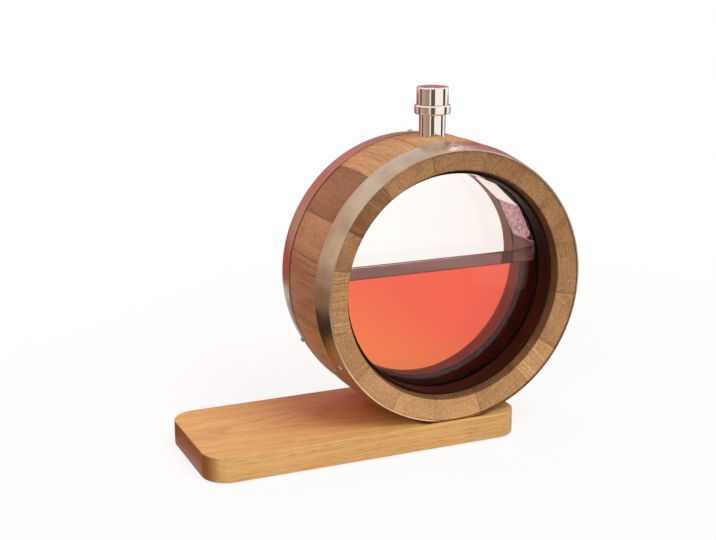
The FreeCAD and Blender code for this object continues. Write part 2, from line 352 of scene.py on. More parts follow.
def maths(tree, operation, *values, clamp=False):
    """The outcome of a Math node."""
    node = put(tree, "Math", dict(enumerate(values)), operation=operation, use_clamp=clamp)
    return node.outputs[0]


def times(tree, first, second):
    """Two values multiplied."""
    return maths(tree, "MULTIPLY", first, second)


def plus(tree, first, second):
    """Two values added."""
    return maths(tree, "ADD", first, second)


def split(tree, vector):
    """The three parts of a vector."""
    return put(tree, "SeparateXYZ", {0: vector}).outputs


def joined(tree, *parts):
    """A vector made of three values."""
    return put(tree, "CombineXYZ", dict(enumerate(parts))).outputs[0]


def distance(tree, first, second):
    """How far off a place lies, from two distances square to each other."""
    return maths(tree, "SQRT", plus(tree, times(tree, first, first), times(tree, second, second)))


def vector_maths(tree, operation, first, second):
    """The vector that a Vector Math node gives."""
    return put(tree, "VectorMath", {0: first, 1: second}, operation=operation).outputs[0]


def own_place(tree):
    """Places in the piece itself, in metres."""
    return put(tree, "TexCoord").outputs["Object"]


def stored(tree, name):
    """The vector that the points of a mesh keep under a name."""
    return put(tree, "Attribute", attribute_name=name).outputs["Vector"]


def mask(tree, value, low, high):
    """A soft step: 0 below low and 1 above high, or the other way round."""
    sockets = {"Value": value, "From Min": low, "From Max": high}
    return put(tree, "MapRange", sockets, interpolation_type="SMOOTHSTEP").outputs[0]


def spread(tree, value, to_low, to_high, low=0.3, high=0.7):
    """A value moved from one span to another. A noise lies mostly between 0.3 and 0.7."""
    sockets = {"Value": value, "From Min": low, "From Max": high, "To Min": to_low, "To Max": to_high}
    return put(tree, "MapRange", sockets).outputs[0]


def between(tree, share, none, full):
    """What lies between two values, by a share from 0 to 1."""
    return spread(tree, share, none, full, 0, 1)


def tint(tree, amount, first, second, kind="MIX"):
    """One colour laid over another."""
    sockets = {0: amount, 6: first, 7: second}
    return put(tree, "Mix", sockets, data_type="RGBA", blend_type=kind).outputs[2]


def shaded(tree, colour, shade):
    """A colour made darker or lighter by a grey value."""
    return tint(tree, 1.0, colour, joined(tree, shade, shade, shade), "MULTIPLY")


def noise(tree, vector, scale, detail=2.0, roughness=0.5):
    """The grey outcome of a Noise Texture."""
    sockets = {"Vector": vector, "Scale": scale, "Detail": detail, "Roughness": roughness}
    return put(tree, "TexNoise", sockets).outputs[0]


def start_group(name, inputs, outputs):
    """A node group with its named sockets, ready to be filled."""
    tree = bpy.data.node_groups.new(name, "ShaderNodeTree")
    for socket, kind in inputs.items():
        tree.interface.new_socket(socket, in_out="INPUT", socket_type="NodeSocket" + kind)
    for socket in outputs:
        tree.interface.new_socket(socket, in_out="OUTPUT", socket_type="NodeSocketFloat")
    return tree, tree.nodes.new("NodeGroupInput").outputs, tree.nodes.new("NodeGroupOutput").inputs


def use_group(tree, group, sockets):
    """The outputs of a node group that is placed in a material with its own values."""
    return put(tree, "Group", sockets, node_tree=group).outputs


def find_node(tree, kind):
    """The node of a kind of which a tree has only one."""
    return next(node for node in tree.nodes if node.type == kind)


def start_material(name):
    """A new material and its tree, which holds only a surface shader."""
    material = bpy.data.materials.new(name)
    material.use_nodes = True
    return material, material.node_tree


def dress(tree, values):
    """Sets or links the sockets of a material's surface shader."""
    set_sockets(tree, find_node(tree, "BSDF_PRINCIPLED").inputs, values)


def raise_surface(tree, height, strength, depth):
    """Small relief in the finish itself."""
    bump = put(tree, "Bump", {"Height": height, "Strength": strength, "Distance": depth})
    dress(tree, {"Normal": bump.outputs[0]})


def wear(piece, material):
    """Gives a piece one material all over."""
    piece.data.materials.clear()
    piece.data.materials.append(material)


def drawn_out(tree, grain, share):
    """Places in the log, squeezed so that a noise on them runs out along the grain."""
    return vector_maths(tree, "MULTIPLY", grain, (1.0, share, 1.0))


def make_oak_grain():
    """Oak as it grows: rings about the pith, open pores along the grain and pale rays out from it."""
    inputs = {"Grain": "Vector", "Ring Width": "Float", "Waviness": "Float"}
    tree, given, out = start_group("oak_grain", inputs, ("Rings", "Pores", "Rays", "Fibres", "Clouds"))
    sweep = put(tree, "TexNoise", {
        "Vector": drawn_out(tree, given["Grain"], 0.16), "Scale": 16.0, "Detail": 3.0,
        "Roughness": 0.45}).outputs["Color"]
    sweep = vector_maths(tree, "SUBTRACT", sweep, (0.5, 0.5, 0.5))
    bend = put(tree, "VectorMath", {0: sweep, "Scale": given["Waviness"]}, operation="SCALE").outputs[0]
    bent = vector_maths(tree, "ADD", given["Grain"], bend)
    across, along, over = split(tree, bent)
    radius = distance(tree, across, over)

    # wide and narrow years, each pale at first and then darker
    sockets = {"W": times(tree, radius, 150.0), "Scale": 1.0, "Detail": 2.0}
    years = put(tree, "TexNoise", sockets, noise_dimensions="1D").outputs[0]
    count = plus(tree, maths(tree, "DIVIDE", radius, given["Ring Width"]), times(tree, years, 3.2))
    season = maths(tree, "FRACT", count)
    rings = times(tree, mask(tree, season, 0.0, 0.16), mask(tree, season, 0.85, 0.16))

    # open vessels, most of them in the dark of a year, and rays that stand out from the pith
    vessels = noise(tree, drawn_out(tree, bent, 0.06), 640.0, 3.0, 0.65)
    pores = times(tree, mask(tree, vessels, 0.52, 0.66), between(tree, rings, 0.35, 1.0))
    bearing = times(tree, maths(tree, "ARCTAN2", over, across), 120.0)
    fan = joined(tree, bearing, times(tree, along, 26.0), times(tree, radius, 30.0))
    rays = mask(tree, noise(tree, fan, 1.0, 2.0, 0.5), 0.55, 0.70)

    fibres = noise(tree, drawn_out(tree, bent, 0.014), 1300.0, 3.0, 0.6)
    clouds = noise(tree, drawn_out(tree, bent, 0.3), 30.0, 3.0, 0.55)
    set_sockets(tree, out, {"Rings": rings, "Pores": pores, "Rays": rays, "Fibres": fibres,
                            "Clouds": clouds})
    return tree


def make_cask_oak(oak_grain):
    """Oak under a satin finish: end grain on the faces, long grain outside, a glossy seal within;
    painted shade in the bores and on the flats under the liquor, and a painted reflection on the dry
    flats.
    """
    material, tree = start_material("cask_oak")
    tone, side_tone_and_light, ring_width = split(tree, stored(tree, "stave_look"))
    seam, show, seal_reflection = split(tree, stored(tree, "stave_seam_rings_reflection"))
    oak = use_group(tree, oak_grain, {
        "Grain": stored(tree, "grain"), "Ring Width": times(tree, ring_width, MM), "Waviness": 0.011})
    place = own_place(tree)
    x, y, z = split(tree, vector_maths(tree, "SUBTRACT", place, tuple(CASK)))
    reach = distance(tree, x, z)
    aside = maths(tree, "ABSOLUTE", y)

    # where on the stave: on a face or in a flared bore, in the flare alone, on the sealed flat
    end = mask(tree, aside, FLARE_FOOT - 1.2 * MM, FLARE_FOOT - 0.2 * MM)
    flare = times(tree, end, mask(tree, reach, MOUTH_RADIUS + 0.4 * MM, MOUTH_RADIUS - 0.2 * MM))
    sealed = times(tree, mask(tree, aside, SHOULDER + 0.3 * MM, SHOULDER + 0.1 * MM),
                   mask(tree, reach, BORE + 1.5 * MM, BORE + 0.5 * MM))

    # the liquor keeps its level as the cask turns, and so does the line above which the dry flat gets
    # its painted reflection
    standing = put(tree, "NewGeometry").outputs["Position"]
    dry_reflection_area = times(tree, sealed, mask(tree, split(tree, standing)[2], *WET_LINE))

    clouds = spread(tree, oak["Clouds"], -0.16, 0.16)
    faces = tint(tree, maths(tree, "ADD", tone, clouds, clamp=True), *FACE_OAK)
    # outside tone per stave; the pale outsides of the staves on top are partly painted light
    sides = tint(tree, maths(tree, "ADD", side_tone_and_light, clouds, clamp=True), *SIDE_OAK)
    colour = tint(tree, end, sides, faces)
    lines = times(tree, oak["Rings"], between(tree, end, 0.40, 0.50))
    colour = tint(tree, times(tree, lines, show), colour, RING_BROWN)
    colour = tint(tree, times(tree, oak["Pores"], 0.46), colour, PORE_BROWN)
    rays = times(tree, oak["Rays"], between(tree, end, 0.10, 0.26))
    colour = tint(tree, rays, colour, RAY_GOLD)
    speck = noise(tree, place, 620.0, 3.0, 0.7)
    colour = shaded(tree, colour, times(tree, spread(tree, oak["Fibres"], 0.84, 1.14),
                                        spread(tree, speck, 0.70, 1.28)))
    joints = times(tree, seam, between(tree, end, 0.80, 0.28))
    colour = tint(tree, joints, colour, SEAM_BROWN)
    # painted shade in the flared bores, much deeper at the front end than at the rear
    flare_shade = times(tree, flare, spread(tree, y, 0.72, 0.20, -10 * MM, 10 * MM))
    colour = tint(tree, flare_shade, colour, FLARE_SHADE)
    # nearly black on the sealed flats: the seal's own dark colour, and partly painted shade inside the
    # closed cask
    colour = tint(tree, times(tree, sealed, 0.90), colour, SEAL_UNDER_AND_SHADE)

    # painted reflection on the dry sealed flats: pink ripples, whiter or darker per stave, with a near
    # mirror finish
    reflected_ripples = noise(tree, vector_maths(tree, "MULTIPLY", place, (0.7, 1.4, 2.0)), 300.0, 2.0, 0.6)
    pale = tint(tree, mask(tree, reflected_ripples, 0.44, 0.56), *SEAL_REFLECTION_TINTS)
    pale = tint(tree, mask(tree, seal_reflection, 0.5, 0.9), pale, SEAL_REFLECTION_WHITE)
    pale = tint(tree, mask(tree, seal_reflection, 0.35, 0.1), pale, SEAL_REFLECTION_DARK)
    rough = plus(tree, 0.42, times(tree, oak["Pores"], 0.22))
    rough = times(tree, rough, between(tree, sealed, 1.0, 2.2))
    dress(tree, {
        "Base Color": tint(tree, dry_reflection_area, colour, pale), "Roughness": between(tree, dry_reflection_area, rough, 0.045),
        "Metallic": times(tree, dry_reflection_area, 0.92), "Specular IOR Level": 0.2})
    sunk = plus(tree, oak["Pores"], times(tree, oak["Rings"], 0.3))
    relief = maths(tree, "SUBTRACT", times(tree, oak["Fibres"], 0.5), sunk)
    relief = times(tree, relief, between(tree, sealed, 1.0, 0.25))
    raise_surface(tree, relief, 0.35, 0.15 * MM)
    return material


oak_grain = make_oak_grain()
cask_oak = make_cask_oak(oak_grain)
for piece in stave_pieces:
    wear(piece, cask_oak)


# ---- Hoops ----
# Two strips of stainless steel, brushed along their length, rolled to the bulge of the wood.
# Each stands a hair past the end of the staves, so its thin bright edge shows beside the wood.

CASK_AXIS_UP = (math.radians(-90), 0.0, 0.0)
HOOP_STEEL = (srgb(192, 168, 146), srgb(210, 188, 166))
HOOP_SMUDGE = srgb(164, 136, 113)


def make_brush_marks():
    """Fine marks that run round an axis, and softer smudges."""
    inputs = {"Place": "Vector", "Along": "Float", "Round": "Float"}
    tree, given, out = start_group("brush_marks", inputs, ("Marks", "Smudges"))
    x, y, z = split(tree, given["Place"])
    radius = maths(tree, "MAXIMUM", distance(tree, x, y), 0.5 * MM)
    cosine = times(tree, maths(tree, "DIVIDE", x, radius), given["Round"])
    sine = times(tree, maths(tree, "DIVIDE", y, radius), given["Round"])
    lines = joined(tree, cosine, sine, times(tree, plus(tree, z, radius), given["Along"]))
    marks = noise(tree, lines, 1.0, 3.0, 0.6)
    smudges = noise(tree, given["Place"], 38.0, 3.0, 0.55)
    set_sockets(tree, out, {"Marks": marks, "Smudges": smudges})
    return tree


def place_about(tree, centre, turn):
    """Places in a piece, measured from a centre and turned so that its axis is upright."""
    sockets = {"Vector": own_place(tree), "Location": tuple(centre), "Rotation": turn}
    return put(tree, "Mapping", sockets, vector_type="TEXTURE").outputs[0]


def make_hoop_steel(brush_marks):
    """Stainless steel strip with a fine brushed grain round the hoop."""
    material, tree = start_material("hoop_steel")
    brushed = use_group(tree, brush_marks, {
        "Place": place_about(tree, CASK, CASK_AXIS_UP), "Along": 2600.0, "Round": 7.0})
    colour = tint(tree, spread(tree, brushed["Marks"], 0.0, 1.0), *HOOP_STEEL)
    smudged = spread(tree, brushed["Smudges"], 0.0, 0.5, low=0.4)
    rough = plus(tree, spread(tree, brushed["Marks"], 0.26, 0.33),
                 spread(tree, brushed["Smudges"], -0.04, 0.06, low=0.4))
    dress(tree, {"Base Color": tint(tree, smudged, colour, HOOP_SMUDGE), "Roughness": rough,
                 "Metallic": 1.0, "Anisotropic": 0.6})
    raise_surface(tree, brushed["Marks"], 0.06, 0.04 * MM)
    return material


brush_marks = make_brush_marks()
hoop_steel = make_hoop_steel(brush_marks)
for name in ("hoop_front", "hoop_rear"):
    wear(nodes[name], hoop_steel)


# ---- Hoop screws ----
# Small stainless screws with domed heads and a cross recess, three through each hoop. Each head
# sits square to the steel of its hoop.

# degrees round the hoop, and how far each screw is turned past the one before
SCREW_ANGLES = (90, 210, 330)
SCREW_SPIN = 37

SCREW_PLACE = 47.0 * MM
SCREW_SINK = 1.45 * MM
SCREW_STEEL = (srgb(176, 160, 150), srgb(200, 184, 172))
RECESS_SHADE = srgb(60, 48, 42)

# one screw's own sizes, in mm: radii of head and shank, heights from the foot of the head
HEAD = 2.7
SHANK = 1.4
SHANK_END = -3.0
RIM = 0.25
DOME = 1.8
RECESS_ARM = 1.35
RECESS_HALF = 0.26
RECESS_FLOOR = 0.9
RECESS_TURN = 20


def make_screw_head():
    """A domed head with a cross recess and a short shank, upright at the origin, in millimetres."""
    profile = [(SHANK, SHANK_END), (SHANK, 0.0), (HEAD - 0.12, 0.0), (HEAD, 0.1)]
    profile += [(max(HEAD * inward, 0.02), RIM + (DOME - RIM) * up) for inward, up in quarter(8)]
    piece = mesh_object("screw_head", *lathe(profile, 40, Vector()))
    corners = [(RECESS_ARM * x, RECESS_HALF * y) for x, y in ((-1, -1), (1, -1), (1, 1), (-1, 1))]
    sides = [(0, 3, 2, 1), (4, 5, 6, 7), (0, 1, 5, 4), (1, 2, 6, 5), (2, 3, 7, 6), (3, 0, 4, 7)]
    for turn in (0, 90):
        way = Matrix.Rotation(math.radians(turn + RECESS_TURN), 3, "Z")
        slot = [way @ Vector((x, y, z)) for z in (RECESS_FLOOR, DOME + 0.6) for x, y in corners]
        cut_away(piece, mesh_object("recess_cutter", slot, sides))
    return piece


def join_copies(name, master, placings):
    """One object made of a mesh set down at several places."""
    shape = bmesh.new()
    for placing in placings:
        copy = master.data.copy()
        copy.transform(placing)
        shape.from_mesh(copy)
        bpy.data.meshes.remove(copy)
    mesh = bpy.data.meshes.new(name)
    shape.to_mesh(mesh)
    shape.free()
    piece = new_object(name, mesh)
    finish_mesh(piece)
    return piece


def make_screw_steel():
    """Bright stainless steel, darkened down in the recess as painted shade."""
    material, tree = start_material("screw_steel")
    spots = noise(tree, own_place(tree), 900.0, 2.0)
    # painted shade in the cross recess and other hollows
    sunk = mask(tree, put(tree, "NewGeometry").outputs["Pointiness"], 0.50, 0.42)
    colour = tint(tree, spread(tree, spots, 0, 1), *SCREW_STEEL)
    dress(tree, {"Base Color": tint(tree, sunk, colour, RECESS_SHADE),
                 "Roughness": spread(tree, spots, 0.12, 0.24), "Metallic": 1.0})
    return material


screw_steel = make_screw_steel()
screw_head = make_screw_head()
for end, side in (("front", -1), ("rear", 1)):
    lean = math.asin(SCREW_PLACE / BULGE_RADIUS) * side
    placings = []
    for index, angle in enumerate(SCREW_ANGLES):
        turn = math.radians(angle)
        out = Vector((math.cos(turn) * math.cos(lean), math.sin(lean), math.sin(turn) * math.cos(lean)))
        base = about_cask(bulge_radius(SCREW_PLACE), turn, side * SCREW_PLACE) + out * SCREW_SINK
        aim = out.to_track_quat("Z", "Y").to_matrix().to_4x4()
        spin = Matrix.Rotation(math.radians(SCREW_SPIN * index), 4, "Z")
        placings.append(Matrix.Translation(base) @ aim @ spin @ Matrix.Scale(MM, 4))
    piece = join_copies("screw_heads_" + end, screw_head, placings)
    node = "hoop_screws_" + end
    wear(piece, screw_steel)
    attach(piece, "cask")
    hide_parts(node)
bpy.data.objects.remove(screw_head)


# ---- Glass ends ----
# A round pane of clear float glass at each end, bedded on a black rubber ring against the shoulder
# of the staves and held by a thin bent ring of stained wood pushed in after it.

GLASS_TINT_AND_REFLECTION = ((1.0, 0.99, 0.965, 1.0), (1.0, 0.945, 0.925, 1.0))

# ground, its dark clouds, growth lines and pores of the front ring, stained and painted darker as
# shade, and of the rear one, painted paler as light
FRONT_RING_SHADED = (srgb(40, 16, 9), srgb(58, 26, 15), srgb(30, 12, 7), srgb(24, 10, 7))
REAR_RING_LIT = (srgb(176, 132, 102), srgb(154, 112, 84), srgb(116, 80, 60), srgb(98, 66, 48))


def make_clear_glass():
    """Clear float glass, faintly tinted and pinker towards one side as a painted reflection, with the
    faint film that hands and cleaning leave.
    """
    material, tree = start_material("clear_glass")
    place = own_place(tree)
    film = noise(tree, place, 30.0, 3.0, 0.6)
    # a faint tint, turning pinker across the pane as a painted reflection
    colour = tint(tree, mask(tree, split(tree, place)[0], 0.0, 0.16), *GLASS_TINT_AND_REFLECTION)
    dress(tree, {
        "Base Color": colour, "Roughness": spread(tree, film, 0.0, 0.012, 0.45, 0.8),
        "Transmission Weight": 1.0, "IOR": 1.46, "Specular Tint": (0.76, 0.74, 0.70, 1.0)})
    return material


def make_moulded_skin():
    """The slightly uneven skin of moulded rubber and plastic."""
    tree, given, out = start_group("moulded_skin", {"Place": "Vector", "Fineness": "Float"},
                                   ("Mottle", "Pits"))
    mottle = noise(tree, given["Place"], times(tree, given["Fineness"], 0.1), 3.0, 0.6)
    pits = noise(tree, given["Place"], given["Fineness"], 2.0, 0.5)
    set_sockets(tree, out, {"Mottle": mottle, "Pits": pits})
    return tree


def make_moulded(name, moulded_skin, dark, pale, rough, fineness):
    """A moulded black material."""
    material, tree = start_material(name)
    skin = use_group(tree, moulded_skin, {"Place": own_place(tree), "Fineness": fineness})
    dress(tree, {
        "Base Color": tint(tree, skin["Mottle"], dark, pale),
        "Roughness": spread(tree, skin["Mottle"], rough - 0.08, rough + 0.08)})
    raise_surface(tree, skin["Pits"], 0.25, 0.08 * MM)
    return material


def make_retainer_wood(oak_grain):
    """Thin stained wood under a satin varnish, nearly black in front as stain and painted shade, and
    paler behind as painted light.
    """
    material, tree = start_material("retainer_wood")
    inside = own_place(tree)
    spun = put(tree, "Mapping", {
        "Vector": inside, "Location": (0.16, 0.4, 0.05),
        "Rotation": (0.0, 0.0, math.radians(90))}).outputs[0]
    oak = use_group(tree, oak_grain, {"Grain": spun, "Ring Width": 1.6 * MM, "Waviness": 0.006})
    # the rear ring painted paler as light, the front one darker as painted shade
    rear = mask(tree, split(tree, inside)[1], -10 * MM, 10 * MM)
    ground, clouded, line, pore = [tint(tree, rear, *pair) for pair in zip(FRONT_RING_SHADED, REAR_RING_LIT)]
    colour = tint(tree, oak["Clouds"], ground, clouded)
    colour = tint(tree, times(tree, oak["Rings"], 0.5), colour, line)
    colour = tint(tree, times(tree, oak["Pores"], 0.6), colour, pore)
    dress(tree, {
        "Base Color": colour, "Roughness": plus(tree, 0.46, times(tree, oak["Pores"], 0.2)),
        "Specular IOR Level": 0.05})
    raise_surface(tree, maths(tree, "SUBTRACT", 1.0, oak["Pores"]), 0.3, 0.1 * MM)
    return material


clear_glass = make_clear_glass()
moulded_skin = make_moulded_skin()
seal_rubber = make_moulded("seal_rubber", moulded_skin, srgb(18, 18, 19), srgb(44, 43, 43),
                           rough=0.55, fineness=2600.0)
retainer_wood = make_retainer_wood(oak_grain)
for side in ("front", "rear"):
    wear(nodes["glass_" + side], clear_glass)
    wear(nodes["glass_seal_" + side], seal_rubber)
    wear(nodes["glass_retainer_" + side], retainer_wood)


# ---- Neck ----
# A thick tube of polished stainless steel let into the bung stave and drawn down from inside by a
# nut. A knurled collar of the same steel is pressed on round its mouth for a grip.

# heights are above the cask's axis
NECK_MOUTH = 164.0 * MM
TUBE_RADIUS = 12.5 * MM
TUBE_BORE = 9.25 * MM
TAIL_RADIUS = 11.25 * MM
TUBE_SEAT = 126.0 * MM
TAIL_END = 103.5 * MM
LIP = 0.4 * MM
ROUND_SIDES = 160
COLLAR_RADIUS = 17.0 * MM
COLLAR_HEIGHT = 9.0 * MM
COLLAR_GAP = 0.02 * MM
COLLAR_TOP_EASE = 1.2 * MM
COLLAR_FOOT_EASE = 1.5 * MM
KNURL_DEPTH = 0.06 * MM
KNURLS_ROUND = 64
NECK_STEEL = (srgb(238, 230, 220), srgb(250, 244, 236))


def make_neck_tube():
    """The tube with its stepped tail, and an eased lip at the mouth."""
    profile = [(TUBE_BORE, TAIL_END), (TAIL_RADIUS, TAIL_END), (TAIL_RADIUS, TUBE_SEAT),
               (TUBE_RADIUS, TUBE_SEAT), (TUBE_RADIUS, NECK_MOUTH - 2 * LIP),
               (TUBE_RADIUS, NECK_MOUTH - LIP), (TUBE_RADIUS - LIP * 0.3, NECK_MOUTH - LIP * 0.3),
               (TUBE_RADIUS - LIP, NECK_MOUTH), (TUBE_BORE + 1.5 * LIP, NECK_MOUTH),
               (TUBE_BORE, NECK_MOUTH - 1.5 * LIP)]
    return mesh_object("steel_neck_tube", *lathe(profile, ROUND_SIDES, CASK, closed=True))


def knurled_radius(angle, height):
    """How far out the collar's diamond knurling stands at a place on its band."""
    slope = KNURLS_ROUND / 2 / COLLAR_RADIUS
    rising = abs(math.sin(KNURLS_ROUND / 2 * angle + slope * height))
    falling = abs(math.sin(KNURLS_ROUND / 2 * angle - slope * height))
    return COLLAR_RADIUS - KNURL_DEPTH * (1 - min(rising, falling) ** 0.8)


def make_collar():
    """The collar: plain rounded top and foot, and a knurled band between."""
    turns = KNURLS_ROUND * 6
    foot = NECK_MOUTH - COLLAR_HEIGHT
    band_low = foot + COLLAR_FOOT_EASE
    band_high = NECK_MOUTH - COLLAR_TOP_EASE
    inner = TUBE_RADIUS + COLLAR_GAP
    rim = COLLAR_RADIUS - KNURL_DEPTH
    bands = 22
    points = []
    for step in range(turns):
        angle = 2 * math.pi * step / turns
        row = [(inner, foot)]
        row += [(rim - COLLAR_FOOT_EASE * (1 - sine), foot + COLLAR_FOOT_EASE * (1 - cosine))
                for cosine, sine in quarter(5)]
        for part in range(1, bands):
            height = band_low + (band_high - band_low) * part / bands
            row.append((knurled_radius(angle, height - foot), height))
        row += [(rim - COLLAR_TOP_EASE * (1 - cosine), band_high + COLLAR_TOP_EASE * sine)
                for cosine, sine in quarter(6)]
        row.append((inner, NECK_MOUTH))
        points += turned(row, angle, CASK)
    return mesh_object("steel_knurled_collar", points, ring_faces(turns, len(row)), 50)


def make_neck_steel(brush_marks):
    """Stainless steel turned and then polished, with the last faint turning marks."""
    material, tree = start_material("neck_steel")
    polished = use_group(tree, brush_marks, {
        "Place": place_about(tree, CASK, (0.0, 0.0, 0.0)), "Along": 5200.0, "Round": 3.0})
    colour = tint(tree, spread(tree, polished["Marks"], 0, 1), *NECK_STEEL)
    dress(tree, {
        "Base Color": colour, "Metallic": 1.0,
        "Roughness": spread(tree, polished["Smudges"], 0.045, 0.10, low=0.35)})
    raise_surface(tree, polished["Marks"], 0.03, 0.02 * MM)
    return material


neck_steel = make_neck_steel(brush_marks)
neck_tube = make_neck_tube()
neck_collar = make_collar()
for piece, node in ((neck_tube, "neck_tube"), (neck_collar, "neck_collar")):
    wear(piece, neck_steel)
    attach(piece, "cask")
    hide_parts(node)
for name in ("neck_washer", "neck_nut"):
    wear(nodes[name], screw_steel)
wear(nodes["neck_seal"], seal_rubber)


# ---- Stopper ----
# A turned cup of polished steel, rounded at its top edge, over a black moulded plug. Two rubber
# rings in the plug's grooves seal it in the neck.

CAP_RADIUS = 15.0 * MM
CAP_FOOT = 164.2 * MM
CAP_HEIGHT = 16.3 * MM
CAP_WALL = 1.2 * MM
CAP_ROUND = 1.2 * MM
CAP_EASE = 0.3 * MM


def make_cap():
    """The cup, with a full round at its top edge and a small ease at its foot."""
    top = CAP_FOOT + CAP_HEIGHT
    profile = [(CAP_RADIUS - CAP_WALL, CAP_FOOT), (CAP_RADIUS - CAP_EASE, CAP_FOOT),
               (CAP_RADIUS, CAP_FOOT + CAP_EASE), (CAP_RADIUS, CAP_FOOT + 2 * CAP_EASE),
               (CAP_RADIUS, top - CAP_ROUND - CAP_EASE)]
    profile += [(CAP_RADIUS - CAP_ROUND * (1 - cosine), top - CAP_ROUND * (1 - sine))
                for cosine, sine in quarter(8)]
    eye = 0.02 * CAP_RADIUS
    profile += [(0.6 * CAP_RADIUS, top), (0.3 * CAP_RADIUS, top), (eye, top), (eye, top - CAP_WALL),
                (CAP_RADIUS - CAP_WALL, top - CAP_WALL)]
    return mesh_object("steel_stopper_cap", *lathe(profile, ROUND_SIDES, CASK, closed=True))


cap = make_cap()
wear(cap, neck_steel)
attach(cap, "stopper")
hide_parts("stopper_cap")
plug_plastic = make_moulded("plug_plastic", moulded_skin, srgb(26, 26, 28), srgb(50, 49, 50),
                            rough=0.42, fineness=3400.0)
wear(nodes["stopper_plug"], plug_plastic)
for name in ("stopper_ring_lower", "stopper_ring_upper"):
    wear(nodes[name], seal_rubber)


# ---- Liquor ----
# A clear amber-red spirit, filled in through the neck. It stands a little over half way up the
# glasses, wets the wood between them, and keeps its level as the cask is turned.

LIQUOR_RADIUS = 106.2 * MM
LIQUOR_SIDE = 21.2 * MM
LIQUOR_LEVEL = 8.0 * MM
MENISCUS = 1.1 * MM
MENISCUS_REACH = 1.0 * MM

# distances in from a glass in mm, closer together where the surface curves up
LIQUOR_STEPS = (0.0, 0.25, 0.55, 0.95, 1.5, 2.3, 3.4, 5.0, 8.0, 14.0, 21.2)

# painted light low and high in the liquor, and painted shade where it is drawn up along a glass
LIQUOR_PAINTED_LIGHT = ((1.0, 0.98, 0.56, 1.0), (1.0, 0.59, 0.64, 1.0))
MENISCUS_SHADE = srgb(120, 34, 26)


def make_liquor_body():
    """The liquor out to the wood, with its surface drawn up a little at each glass."""
    places = [step * MM - LIQUOR_SIDE for step in LIQUOR_STEPS]
    places += [-place for place in reversed(places[:-1])]
    arc = 120
    points = []
    for place in places:
        from_glass = LIQUOR_SIDE - abs(place)
        level = LIQUOR_LEVEL + MENISCUS * math.exp(-from_glass / MENISCUS_REACH)
        rise = math.asin(level / LIQUOR_RADIUS)
        for step in range(arc + 1):
            angle = rise - (math.pi + 2 * rise) * step / arc
            points.append(about_cask(LIQUOR_RADIUS, angle, place))
    return mesh_object("amber_liquor", points, block_faces(len(places), arc + 1), 50)


def make_liquor():
    """A clear liquid whose colour deepens with the way that light takes through it, painted paler low
    on the left and pinker high on the right as light, and with a painted dark line at each glass.
    """
    material, tree = start_material("liquor")
    place = own_place(tree)
    x, y, z = split(tree, vector_maths(tree, "SUBTRACT", place, tuple(CASK)))
    # painted light: paler and yellower low on the left, pinker high on the right
    light_slope = plus(tree, plus(tree, z, times(tree, x, 0.55)),
                 times(tree, noise(tree, place, 9.0, 2.0), 0.05))
    colour = tint(tree, mask(tree, light_slope, -0.095, 0.0), *LIQUOR_PAINTED_LIGHT)
    # painted shade: a dark red line where the surface is drawn up along each glass
    at_glass = mask(tree, maths(tree, "ABSOLUTE", y), LIQUOR_SIDE - 1.8 * MM, LIQUOR_SIDE - 0.9 * MM)
    meniscus_shade = times(tree, at_glass, mask(tree, z, LIQUOR_LEVEL + 0.05 * MM, LIQUOR_LEVEL + 0.35 * MM))
    dress(tree, {
        "Base Color": tint(tree, meniscus_shade, colour, MENISCUS_SHADE), "Roughness": 0.0,
        "Transmission Weight": 1.0, "IOR": 1.36, "Specular Tint": (0.50, 0.46, 0.44, 1.0)})
    raise_surface(tree, noise(tree, place, 24.0, 1.0), 0.02, 0.1 * MM)
    absorb = put(tree, "VolumeAbsorption", {"Color": (0.980, 0.556, 0.374, 1.0), "Density": 75.0})
    tree.links.new(absorb.outputs[0], find_node(tree, "OUTPUT_MATERIAL").inputs["Volume"])
    return material


liquor = make_liquor_body()
wear(liquor, make_liquor())
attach(liquor, "base")
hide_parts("liquor")


# ---- Plank ----
# One board of light oak with round corners and eased edges, hollowed to the cask's bulge. The cask
# turns in the hollow, and the glass to be filled stands on the other end.

PLANK_OAK = (srgb(230, 184, 118), srgb(222, 172, 108))
PLANK_END_GRAIN_SHADE = srgb(174, 124, 70)
CASK_SHADE_ROSE = srgb(240, 200, 204)

# which marks of the grain show, how strongly, and their colour
PLANK_MARKS = (("Rings", 0.30, srgb(180, 124, 70)), ("Pores", 0.55, srgb(140, 92, 50)),
               ("Rays", 0.22, srgb(246, 206, 130)))

# the patch of painted shadow and rosy reflected light beside the cask: which part of a place (0 along,
# 1 across,
# 2 up), and where, in mm, its edge starts and ends
CASK_SHADE_PATCH = ((0, -140, -30), (0, 90, 40), (1, -55, 5), (2, 22, 25))


